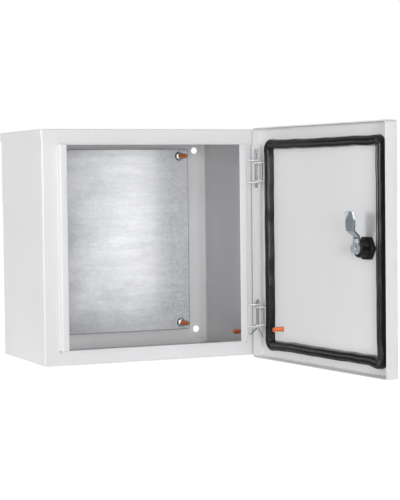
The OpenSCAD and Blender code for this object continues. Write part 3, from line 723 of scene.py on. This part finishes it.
class ENCLOSURE_OT_weld_seams(Operator):
    """Lays the weld beads on the door's hinge leaves and at the corners of the mouth"""

    bl_idname = "enclosure.weld_seams"
    bl_label = "Weld seams"

    def execute(self, context):
        sizes = context.scene.enclosure_welds
        coat = made(powder_coat, context.scene.enclosure_paint)
        # The leaf welds are real beads, and their near black colour is also painted shade along
        # the leaf's edge.
        weld_shade = zinc_plate("weld_shade_steel", sizes.burnt_colour, 0.45, 0.5)
        sheet_top, short_of_end = 2.75 * MM, 1.0 * MM
        for height in ("low", "high"):
            node = "hinge_door_bracket_" + height
            low, high = closed_box(node)
            x = high[0] - sizes.leaf_inset
            y = closed_box("door_shell")[0][1] + sheet_top
            ends = on_door([[x, y, low[2] + short_of_end], [x, y, high[2] - short_of_end]])
            self.lay("leaf_weld_" + height, [(ends, -OUT_OF_DOOR)], sizes.radius, sizes.pitch,
                     weld_shade, node)

        proud, past_panel = 0.2 * MM, 2.2 * MM
        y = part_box("base_pan")[0][1] - proud
        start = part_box("mounting_panel")[1][0] + past_panel
        lines = [(np.array([[side * start, y, z], [side * (start + sizes.length), y, z]]),
                  (0, -1, 0)) for side in (-1, 1) for z in sizes.lips]
        self.lay("mouth_welds", lines, sizes.radius * 1.1, sizes.pitch, coat, "base_pan")
        return {"FINISHED"}

    @staticmethod
    def lay(name, lines, radius, pitch, material, node):
        """Each bead is a row of overlapping lumps: the radius is the bead's own times
        0.62 + 0.38 |sin(pi s / pitch)|, drawn in to a point at both ends. A bead rides
        with a node and stands for none."""
        grids = []
        turn = np.arange(12)[:, None] * math.pi / 6
        for ends, out in lines:
            length = np.linalg.norm(ends[1] - ends[0])
            along = (ends[1] - ends[0]) / length
            s = np.linspace(0.0, length, max(24, int(length / (0.12 * pitch))))
            swell = 0.62 + 0.38 * np.abs(np.sin(math.pi * s / pitch))
            swell *= np.sqrt(np.clip(np.minimum(s, length - s) / (0.8 * radius), 0, 1))
            ring = np.cos(turn) * np.asarray(out, float) + np.sin(turn) * np.cross(along, out)
            line = ends[0] + along * s[:, None]
            grids.append((line[:, None] + ring * (radius * swell)[:, None, None], False, True))
        piece = surface(name, grids)
        piece.data.materials.append(material)
        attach(piece, frame["nodes"][node]["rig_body"])


class ENCLOSURE_OT_mounting_panel(Operator):
    """Makes the galvanised mounting panel"""

    bl_idname = "enclosure.mounting_panel"
    bl_label = "Mounting panel"

    def execute(self, context):
        sizes = context.scene.enclosure_zinc
        zinc = galvanised_sheet(sizes, *box_of("mounting_panel"))
        dressed_copy("mounting_panel", "panel_sheet", zinc, sizes.edge)
        return {"FINISHED"}


def stud_radius():
    """Half the thickness of the stud on the side wall. All the studs have its thread."""
    low, high = box_of("wall_earth_stud")
    return (high[2] - low[2]) / 2


def panel_stud_axes():
    """X and Z of the panel studs, one radius in from the corners of their box."""
    low, high = box_of("panel_studs")
    radius = stud_radius()
    return [(x, z) for x in (low[0] + radius, high[0] - radius)
            for z in (low[2] + radius, high[2] - radius)]


class ENCLOSURE_OT_studs(Operator):
    """Makes the copper-plated studs with their threads and weld collars"""

    bl_idname = "enclosure.studs"
    bl_label = "Studs"

    def execute(self, context):
        sizes = context.scene.enclosure_studs
        copper = copper_plate(sizes)

        low, high = box_of("panel_studs")
        places = [((x, high[1], z), (0, -1, 0), high[1] - low[1]) for x, z in panel_stud_axes()]
        self.make("panel_threads", places, sizes, copper, "panel_studs")

        low, high = box_of("wall_earth_stud")
        middle = (low + high) / 2
        place = ((high[0], middle[1], middle[2]), (-1, 0, 0), high[0] - low[0])
        self.make("wall_earth_thread", [place], sizes, copper, "wall_earth_stud")

        low, high = closed_box("door_earth_stud")
        middle = (low + high) / 2
        place = (on_door([middle[0], low[1], middle[2]]), -OUT_OF_DOOR, high[1] - low[1])
        self.make("door_earth_thread", [place], sizes, copper, "door_earth_stud")
        return {"FINISHED"}

    @staticmethod
    def make(name, places, sizes, copper, node):
        """Each stud is a threaded side on a weld collar, closed at its chamfered tip."""
        radius, chamfer = stud_radius(), 0.8 * MM
        grids = []
        for foot, direction, length in places:
            side = threaded_side(radius, length, sizes.pitch, chamfer, start=sizes.collar * 1.3)
            points = stud_side(foot, direction, *side, radius * 1.16, sizes.collar)
            grids.append((points, False, True))
        made_piece(name, grids, copper, node)


def hexagon_profile(flats, low, high, chamfer_low, chamfer_high, inner):
    """Closed profile of a hexagonal nut or head from its inner radius: the side is the
    hexagon, cut by cones of 30 degrees where a chamfer is asked for."""
    corner = flats / 2 / math.cos(math.pi / 6)
    start, blunt = flats * CHAMFER_START, 0.15 * MM

    def side(cut):
        return lambda angle: np.minimum(hexagon_radius(angle, flats), cut)

    def drop(sign, at):
        return lambda angle: at + sign * CHAMFER_SLOPE * np.maximum(
            hexagon_radius(angle, flats) - start, 0)

    if chamfer_low:
        rows = [(inner, low), (start, low), (side(corner), drop(1, low))]
    else:
        rows = [(inner, low), (side(corner * 0.985), low), (side(corner), low + blunt)]
    if chamfer_high:
        rows += [(side(corner), drop(-1, high)), (start, high)]
    else:
        rows += [(side(corner), high - blunt), (side(corner * 0.985), high)]
    return rows + [(inner, high)]


class ENCLOSURE_OT_nuts(Operator):
    """Makes the nuts and washers on the panel studs, and the gland plate's fasteners"""

    bl_idname = "enclosure.nuts"
    bl_label = "Nuts, washers and screws"

    def execute(self, context):
        sizes = context.scene.enclosure_zinc
        zinc = zinc_plate("zinc_parts", sizes.part_colour, 0.3)
        self.panel_fasteners(zinc)
        self.gland_screws(zinc)
        dressed_copy("gland_rivet_nuts", "rivet_nuts", zinc, sizes.edge)
        rubber = made(rubber_skin, context.scene.enclosure_seal)
        dressed_copy("gland_gasket", "gasket_sheet", rubber, sizes.edge)
        return {"FINISHED"}

    @staticmethod
    def panel_fasteners(zinc):
        """Nuts are hexagons cut by chamfer cones, and washers are rounded flat rings."""
        low, high = box_of("panel_studs")
        radius = stud_radius()
        spacing = high[2] - low[2] - 2 * radius

        def fasten(node, name, material, profile, angle):
            wall_side = box_of(node)[1][1]
            grids = [(ring_section((x, wall_side, z), (0, -1, 0), profile, angle), True, True)
                     for x, z in panel_stud_axes()]
            made_piece(name, grids, material, node)

        for node, name in (("panel_nuts", "nuts"), ("panel_jam_nuts", "jam_nuts")):
            low, high = box_of(node)
            profile = hexagon_profile((high[2] - low[2]) - spacing, 0.0, high[1] - low[1],
                                      True, True, radius * 0.93)
            fasten(node, name, zinc, profile, hexagon_angles())

        low, high = box_of("panel_washers")
        outer, thick = (high[2] - low[2] - spacing) / 2, high[1] - low[1]
        bore, rounding = radius + 0.2 * MM, 0.25 * MM
        profile = [(bore, 0), (outer - rounding, 0), (outer, rounding), (outer, thick - rounding),
                   (outer - rounding, thick), (bore, thick)]
        # Painted shade: the washers are near black, for the shade round the nuts.
        painted_shading = zinc_plate("painted_shade_washers", (0.07, 0.075, 0.08), 0.4)
        fasten("panel_washers", "washers", painted_shading, profile, np.arange(48) * math.pi / 24)

    def gland_screws(self, zinc):
        """Button heads: their height falls as 1 - 0.75 (share - 0.35)^2 / 0.42, where the
        share is the radius over the head's own, and a hexagon socket is sunk in the middle."""
        low, high = box_of("gland_screws")
        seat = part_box("gland_plate")[0][2]
        head_h = seat - low[2]
        shank = self.shank_radius()
        head_r, socket = shank * 1.9, shank * 1.1
        xs = (low[0] + head_r, (low[0] + high[0]) / 2, high[0] - head_r)
        ys = (low[1] + head_r, high[1] - head_r)

        def dome(share):
            return (head_r * share, -head_h * (1 - 0.75 * max(0.0, share - 0.35) ** 2 / 0.42))

        def hexagon(flats):
            return lambda angle: hexagon_radius(angle, flats)

        profile = [(0, -head_h * 0.35), (hexagon(socket), -head_h * 0.4),
                   (hexagon(socket), -head_h * 0.97), (hexagon(socket * 1.12), -head_h)]
        profile += [dome(share) for share in (0.45, 0.6, 0.75, 0.88, 0.97, 1.0)]
        profile += [(head_r, 0), (shank, 0), (shank, high[2] - seat), (0, high[2] - seat)]
        grids = [(ring_section((x, y, seat), (0, 0, 1), profile, hexagon_angles(6)), False, True)
                 for x in xs for y in ys]
        made_piece("screws", grids, zinc, "gland_screws")

    @staticmethod
    def shank_radius():
        """Half the width of the first screw's upper end, which is its shank."""
        same_height, nearest = 0.01 * MM, 20 * MM
        points = corners("gland_screws")
        top = points[points[:, 2] > points[:, 2].max() - same_height]
        first = top[top[:, 0] < top[:, 0].min() + nearest]
        return (first[:, 0].max() - first[:, 0].min()) / 2


class ENCLOSURE_OT_door_seal(Operator):
    """Lays the rubber seal round the door's inner face"""

    bl_idname = "enclosure.door_seal"
    bl_label = "Door seal"

    def execute(self, context):
        sizes = context.scene.enclosure_seal
        low, high = closed_box("door_seal")
        width, radius = sizes.foot_width, sizes.corner
        path, inward, share = self.rounded_rectangle(low, high, radius, sizes.steps)
        across, crown = self.profile(width, high[1] - low[1], sizes.groove)

        turn = 2 * math.pi * share

        def waves(*parts):
            """Sum of sines, each with its size, its count round the seal and its start."""
            return sum(size * np.sin(count * turn + start) for size, count, start in parts)

        wander = waves((1.0, 7, 0.6), (0.7, 17, 2.1), (0.5, 31, 4.0)) / 2.2
        fat = waves((1.0, 11, 1.7), (0.6, 23, 0.3)) / 1.6
        bulge = self.corner_bulge(path, low, high, radius, sizes.swell)
        shift = sizes.waver * wander - bulge
        wide = 1 + (0.35 * sizes.waver * fat + 0.7 * bulge) / width
        # The crown sinks by a hundredth for each millimetre of bulge.
        tall = 1 - 0.02 * (1 + fat) - 10 * bulge

        a = shift[:, None] + across[None, :] * wide[:, None]
        depth = low[1] + crown[None, :] * tall[:, None]
        points = np.stack([path[:, None, 0] + a * inward[:, None, 0], depth,
                           path[:, None, 1] + a * inward[:, None, 1]], -1)
        made_piece("seal_bead", [(on_door(points), True, True)], made(rubber_skin, sizes),
                   "door_seal")
        return {"FINISHED"}

    @staticmethod
    def rounded_rectangle(low, high, radius, steps):
        """Outer edge of the seal, by length: four straight sides joined by quarter circles.
        Returns points in X and Z, the inward direction at each, and the share of the way."""
        wide, tall = high[0] - low[0] - 2 * radius, high[2] - low[2] - 2 * radius
        arc = radius * math.pi / 2
        lengths = np.array([wide, arc, tall, arc, wide, arc, tall, arc])
        ends = np.concatenate([[0], np.cumsum(lengths)])
        share = np.arange(steps) / steps
        s = share * ends[-1]
        part = np.clip(np.searchsorted(ends, s, side="right") - 1, 0, 7)
        along = s - ends[part]
        side = part // 2
        turn = np.where(part % 2 == 1, along / radius, 0.0) + side * math.pi / 2
        inward = np.stack([-np.sin(turn), np.cos(turn)], -1)
        left, right = low[0] + radius, high[0] - radius
        bottom, top = low[2] + radius, high[2] - radius
        centres = np.array([[right, bottom], [right, top], [left, top], [left, bottom]])
        heading = np.stack([np.cos(side * math.pi / 2), np.sin(side * math.pi / 2)], -1)
        back = np.where(part % 2 == 0, lengths[part] - along, 0.0)
        path = centres[side] - inward * radius - heading * back[:, None]
        return path, inward, share

    @staticmethod
    def profile(width, height, groove):
        """Closed section of the bead: two ridges with sloping flanks and a groove between
        them, drawn through a few points of one half and rounded by averaging neighbours."""
        middle = 0.945 - groove / height
        half = np.array([[0.0, 0.0], [0.03, 0.40], [0.06, 0.68], [0.10, 0.82], [0.18, 0.876],
                         [0.26, 0.923], [0.295, 0.93], [0.33, 0.92], [0.41, 0.87],
                         [0.49, middle], [0.5, middle]])
        whole = np.concatenate([half, half[-2::-1] * (-1, 1) + (1, 0)])
        lengths = np.concatenate([[0], np.cumsum(np.linalg.norm(np.diff(whole, axis=0), axis=1))])
        t = np.linspace(0.0, lengths[-1], 60)
        across, crown = (np.interp(t, lengths, whole[:, i]) for i in range(2))
        for row in (across, crown):
            row[1:-1] = (row[:-2] + 2 * row[1:-1] + row[2:]) / 4
        across, crown = across * width, crown * height
        across = np.concatenate([[0.0], across, [width, width * 0.5]])
        crown = np.concatenate([[0.0], crown, [0.0, 0.0]])
        return across, crown

    @staticmethod
    def corner_bulge(path, low, high, radius, swells):
        """Sum over the corners of that corner's swell, times exp(-(d / 1.5 radii)^4), where
        d is the larger of the two distances to the corner's edges."""
        bulge = np.zeros(len(path))
        for swell, (right, up) in zip(swells, ((0, 0), (1, 0), (1, 1), (0, 1))):
            dx = high[0] - path[:, 0] if right else path[:, 0] - low[0]
            dz = high[2] - path[:, 1] if up else path[:, 1] - low[2]
            bulge += swell * np.exp(-(np.maximum(dx, dz) / (1.5 * radius)) ** 4)
        return bulge


class ENCLOSURE_OT_hinge_pins(Operator):
    """Bends the split pins of the two hinges from wire"""

    bl_idname = "enclosure.hinge_pins"
    bl_label = "Hinge pins"

    def execute(self, context):
        sizes = context.scene.enclosure_pins
        zinc = zinc_plate("zinc_wire", sizes.colour, sizes.roughness)
        # Which way the pin points, how much of its length its bent legs take, and each leg's
        # tilt and swing in degrees and length in millimetres.
        for height, way, bent, legs in (
            ("high", 1, 12.5, ((-4, 0, 11.0), (8, 0, 12.0))),
            ("low", -1, 10.5, ((-50, 0, 13.5), (33, -72, 14.5))),
        ):
            self.make(height, way, bent, legs, sizes.gap, zinc)
        return {"FINISHED"}

    def make(self, height, way, bent, legs, gap, material):
        """The wire runs from one leg's end along the shank, round the eye and back. The
        eye is an ellipse, and lengths are counted from its end along the pin's axis."""
        node = "hinge_pin_" + height
        low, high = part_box(node)
        wire_width, eye_width, eye_height = 1.8 * MM, 1.6 * MM, 2.3 * MM
        eye_middle = eye_height + 0.9 * MM
        shank_start, shank_end = 6.7 * MM, high[2] - low[2] - bent * MM
        halves = []
        for sign, (tilt, swing, length) in zip((-1, 1), legs):
            leg = self.leg_direction(tilt, swing) * length * MM
            side = sign * 0.45 * wire_width
            end = np.array([side, 0, shank_end])
            straight = [[side, 0, h] for h in np.linspace(shank_end - 1.5 * MM, shank_start, 12)]
            halves.append([end + leg, end + leg * 0.5, end + leg * 0.12, *straight])
        eye = [[-eye_width * math.cos(turn), 0, eye_middle - eye_height * math.sin(turn)]
               for turn in np.linspace(-0.5, math.pi + 0.5, 17)]
        line = np.array([*halves[0], *eye, *reversed(halves[1])])
        line[:, 2] = (low[2] if way > 0 else high[2]) + way * line[:, 2]
        line[:, :2] += HINGE_AXIS[:2]
        turn = np.arange(12) * math.pi / 6
        section = np.stack([np.cos(turn), np.sin(turn)], -1) * (wire_width - gap) / 2
        made_piece("pin_wire_" + height, tube(rounded_line(line, 5), section), material,
                   node)

    @staticmethod
    def leg_direction(tilt, swing):
        """Unit vector tilted from the axis by one angle and turned about it by another."""
        t, s = math.radians(tilt), math.radians(swing)
        return np.array([math.sin(t) * math.cos(s), math.sin(t) * math.sin(s), math.cos(t)])


def rounded_line(points, per_span):
    """Points of a Catmull-Rom curve: each span is the cubic that passes through its two
    ends with slopes of half the distance between their neighbours."""
    p = np.concatenate([[2 * points[0] - points[1]], points, [2 * points[-1] - points[-2]]])
    t = (np.arange(per_span) / per_span)[None, :, None]
    a, b, c, d = (p[i:len(p) - 3 + i][:, None, :] for i in range(4))
    curve = 0.5 * (2 * b + (c - a) * t + (2 * a - 5 * b + 4 * c - d) * t ** 2
                   + (3 * b - a - 3 * c + d) * t ** 3)
    return np.concatenate([curve.reshape(-1, 3), points[-1:]])


def tube(path, profile):
    """Closed wire along a path: the profile carried square to the path, and closed by
    drawing it in to a point at each end."""
    tangents = np.gradient(path, axis=0)
    tangents /= np.linalg.norm(tangents, axis=1)[:, None]
    side = np.cross(tangents, np.array([0.0, 1.0, 0.0]))
    side /= np.maximum(np.linalg.norm(side, axis=1), 1e-9)[:, None]
    rows = swept(path, tangents, side, profile)
    ends = [np.broadcast_to(path[i], rows[i].shape)[None] for i in (0, -1)]
    return [(np.concatenate([ends[0], rows, ends[1]]), False, True)]


class ENCLOSURE_OT_lock(Operator):
    """Makes the quarter-turn lock: housing, nut, seal, core, cam, washer and bolt"""

    bl_idname = "enclosure.lock"
    bl_label = "Lock"

    def execute(self, context):
        sizes = context.scene.enclosure_lock
        nylon = black_nylon(sizes)
        zinc = zinc_plate("zinc_bolt", sizes.bolt_colour, 0.32)
        # The cam's boss gets a painted highlight, with a band of painted shade round it.
        boss = np.array([LOCK_AXIS[0], LOCK_AXIS[1], closed_box("lock_cam")[0][2] + sizes.boss])
        half_wide, half_tall, painted_band = 3.4 * MM, 2.6 * MM, 1.1 * MM
        cam_zinc = zinc_plate("zinc_cam", sizes.cam_colour, 0.3, painted_boss=(
            boss, np.cross(OUT_OF_DOOR, UP), half_wide, half_tall, painted_band))
        rubber = made(rubber_skin, context.scene.enclosure_seal)
        edge = context.scene.enclosure_zinc.edge

        self.housing(sizes.pitch, nylon)
        self.nut(nylon)
        dressed_copy("lock_seal", "lock_gasket", rubber, edge * 0.5)
        dressed_copy("lock_core", "core_turned", zinc, edge)
        dressed_copy("lock_cam", "cam_stamped", cam_zinc, edge * 1.5, 3, 14)
        self.washer(sizes.tooth, zinc)
        dressed_copy("cam_bolt", "bolt_head", zinc, edge * 1.8, 3)
        return {"FINISHED"}

    @staticmethod
    def foot(node):
        """The point on the lock's axis where one of its nodes starts, as the door stands."""
        axis = turned_about_hinge(LOCK_AXIS, -DOOR_ANGLE)
        return on_door([axis[0], closed_box(node)[0][1], axis[2]])

    def housing(self, pitch, nylon):
        """One turned section: head, threaded barrel with two flats, and the core's bore."""
        low, high = closed_box("lock_housing")
        head_r, length = (high[2] - low[2]) / 2, high[1] - low[1]
        seat = closed_box("door_shell")[0][1] - low[1]
        nut_start = closed_box("lock_nut")[0][1] - low[1]
        barrel_r, to_flat, bore = 11.0 * MM, 10.0 * MM, 7.1 * MM
        angle, r, height = threaded_side(barrel_r, length, pitch, 1.0 * MM, start=nut_start,
                                         around=72, flat=to_flat)
        angle = angle[0]
        plain = np.minimum(barrel_r, distance_to_flat(to_flat, angle))
        under_head = seat - 0.8 * MM
        first_r, first_h = profile_rows([
            (bore, 0.5 * MM), (bore + 0.5 * MM, 0), (head_r - 2.2 * MM, 0),
            (head_r - 0.9 * MM, 0.25 * MM), (head_r - 0.2 * MM, 1.1 * MM), (head_r, 2.0 * MM),
            (head_r, under_head), (plain, under_head), (plain, nut_start)], angle)
        last_r, last_h = profile_rows([(bore + 0.4 * MM, length),
                                       (bore, length - 0.4 * MM)], angle)
        r = np.concatenate([first_r, r, last_r])
        height = np.concatenate([first_h, height, last_h])
        points = about_axis(self.foot("lock_housing"), -OUT_OF_DOOR, r, height,
                            np.broadcast_to(angle, r.shape))
        made_piece("housing_moulded", [(points, True, True)], nylon,
                   "lock_housing")

    def washer(self, tooth, zinc):
        """Twelve teeth round a flat ring: the outer radius follows a clipped triangle wave,
        and each tooth is twisted by a saw wave of the angle."""
        low, high = closed_box("cam_washer")
        bore, root, twist = 3.2 * MM, (high[2] - low[2]) / 2 - 0.6 * MM, 0.9 * MM
        thick = high[1] - low[1]
        angle = np.arange(144) * math.pi / 72
        phase = (angle * 12 / (2 * math.pi)) % 1.0
        out = np.clip(1.6 - 3.2 * np.abs(2 * phase - 1), 0, 1)
        raised = twist * (phase - 0.5) * out
        outer = root + tooth * out
        profile = [(bore, 0), (root, 0), (outer, 0.1 * thick + raised),
                   (outer, 0.9 * thick + raised), (root, thick), (bore, thick)]
        points = ring_section(self.foot("cam_washer"), -OUT_OF_DOOR, profile, angle)
        made_piece("washer_toothed", [(points, True, True)], zinc, "cam_washer")

    def nut(self, nylon):
        """Hexagon with one chamfer and a thin collar on the side away from the door."""
        low, high = closed_box("lock_nut")
        flats, thick = high[2] - low[2], high[1] - low[1]
        bore, thread, collar_h = 10.4 * MM, 10.9 * MM, 0.5 * MM
        profile = hexagon_profile(flats, 0.0, thick, False, True, bore)[:-2]
        profile += [(flats * CHAMFER_START, thick - collar_h), (flats * 0.44, thick - collar_h),
                    (flats * 0.435, thick), (thread, thick), (bore, thick - collar_h)]
        points = ring_section(self.foot("lock_nut"), -OUT_OF_DOOR, profile, hexagon_angles(10),
                              math.pi / 6)
        made_piece("nut_moulded", [(points, True, True)], nylon, "lock_nut")


class ENCLOSURE_OT_stage(Operator):
    """Sets the floor, the lamps, the sky and the camera"""

    bl_idname = "enclosure.stage"
    bl_label = "Stage"

    def execute(self, context):
        sizes = context.scene.enclosure_stage
        self.floor(sizes.glow)
        self.sky(sizes.world)
        lamp("lamp_left", (-4.6, -0.35, 0.5), (0.1, -0.3, 0.0), 0.9, 1.4, sizes.left)
        lamp("lamp_front", (-0.45, -2.9, 0.15), (0.0, -0.1, 0.0), 0.7, 0.5, sizes.front)
        lamp("lamp_high", (-0.35, -2.5, 1.1), (0.0, -0.1, 0.0), 0.8, 0.6, sizes.high)
        lamp("lamp_side", (-3.2, -1.0, 2.4), (0.1, -0.3, 0.0), 1.5, 1.0, sizes.side)
        self.camera(sizes.lens)
        context.scene.view_settings.view_transform = "Standard"
        return {"FINISHED"}

    @staticmethod
    def floor(glow):
        """A wide pale sheet under the lowest point. What the camera sees of it is lifted
        towards white, and keeps the shadow."""
        low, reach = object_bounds()[0][2], 14.0
        mesh = bpy.data.meshes.new("floor")
        mesh.from_pydata([(-reach, -reach, low), (reach, -reach, low), (reach, reach, low),
                          (-reach, reach, low)], [], [(0, 1, 2, 3)])
        sheet = placed("floor", mesh)
        finish = Finish("pale_floor")
        seen = finish.seen_by("Is Glossy Ray", "Is Transmission Ray")
        colour = finish.blend(finish.noise(3.0, 2.0), (0.86, 0.86, 0.86, 1), (0.9, 0.9, 0.9, 1))
        finish.set(Base_Color=colour, Roughness=0.7, Emission_Color=(1, 1, 1, 1),
                   Emission_Strength=finish.ranged(seen, 0.0, 1.0, glow, 0.75))
        sheet.data.materials.append(finish.material)
        sheet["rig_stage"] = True

    @staticmethod
    def sky(strength):
        """Even light from all round, and white where the camera or a reflection sees it."""
        sky = Finish("studio", sky=True)
        bpy.context.scene.world = sky.material
        seen = sky.seen_by("Is Glossy Ray")
        sky.set(Color=(1, 1, 1, 1), Strength=sky.ranged(seen, 0.0, 1.0, strength, 1.0))

    @staticmethod
    def camera(lens):
        """Stands to the left of the open front, a little above the middle."""
        data = bpy.data.cameras.new("camera")
        data.lens = lens
        data.sensor_width = 36.0
        data.clip_start, data.clip_end = 0.05, 60.0
        camera = placed("camera", data)
        place = (-0.76911, -2.08334, 0.08634)
        right = Vector((0.91603, -0.40095, -0.01152))
        up = Vector((0.02835, 0.03607, 0.99895))
        back = Vector((-0.40011, -0.91539, 0.0444))
        turn = Matrix((right, up, back)).transposed().to_4x4()
        camera.matrix_world = Matrix.Translation(place) @ turn
        bpy.context.scene.camera = camera


def lamp(name, place, target, wide, tall, power):
    """A soft rectangular lamp that looks at a point."""
    data = bpy.data.lights.new(name, "AREA")
    data.shape = "RECTANGLE"
    data.size, data.size_y = wide, tall
    data.energy = power
    light = placed(name, data)
    light.location = place
    aim = Vector(target) - light.location
    light.rotation_euler = aim.to_track_quat("-Z", "Y").to_euler()


class ENCLOSURE_PT_pieces(Panel):
    """Lists the enclosure's pieces with their sizes and colours"""

    bl_idname = "ENCLOSURE_PT_pieces"
    bl_label = "Steel wall enclosure"
    bl_space_type = "VIEW_3D"
    bl_region_type = "UI"
    bl_category = "Enclosure"

    def draw(self, context):
        for group, settings in SETTINGS.items():
            box = self.layout.box()
            box.label(text=settings.__doc__)
            for name in settings.__annotations__:
                box.prop(getattr(context.scene, group), name)
        for operator in OPERATORS:
            self.layout.operator(operator.bl_idname)


OPERATORS = (
    ENCLOSURE_OT_paint_sheet, ENCLOSURE_OT_weld_seams, ENCLOSURE_OT_mounting_panel,
    ENCLOSURE_OT_studs, ENCLOSURE_OT_nuts, ENCLOSURE_OT_door_seal, ENCLOSURE_OT_hinge_pins,
    ENCLOSURE_OT_lock, ENCLOSURE_OT_stage,
)
CLASSES = (*SETTINGS.values(), *OPERATORS, ENCLOSURE_PT_pieces)


def register():
    """Registers the classes and hangs the settings on the scene."""
    for cls in CLASSES:
        bpy.utils.register_class(cls)
    for group, settings in SETTINGS.items():
        setattr(bpy.types.Scene, group, PointerProperty(type=settings))


def unregister():
    """Takes the settings and the classes away again."""
    for group in SETTINGS:
        delattr(bpy.types.Scene, group)
    for cls in reversed(CLASSES):
        bpy.utils.unregister_class(cls)


def main():
    """Registers the classes and makes every piece in order."""
    register()
    for operator in OPERATORS:
        group, name = operator.bl_idname.split(".")
        getattr(getattr(bpy.ops, group), name)()


if __name__ == "__main__":
    main()
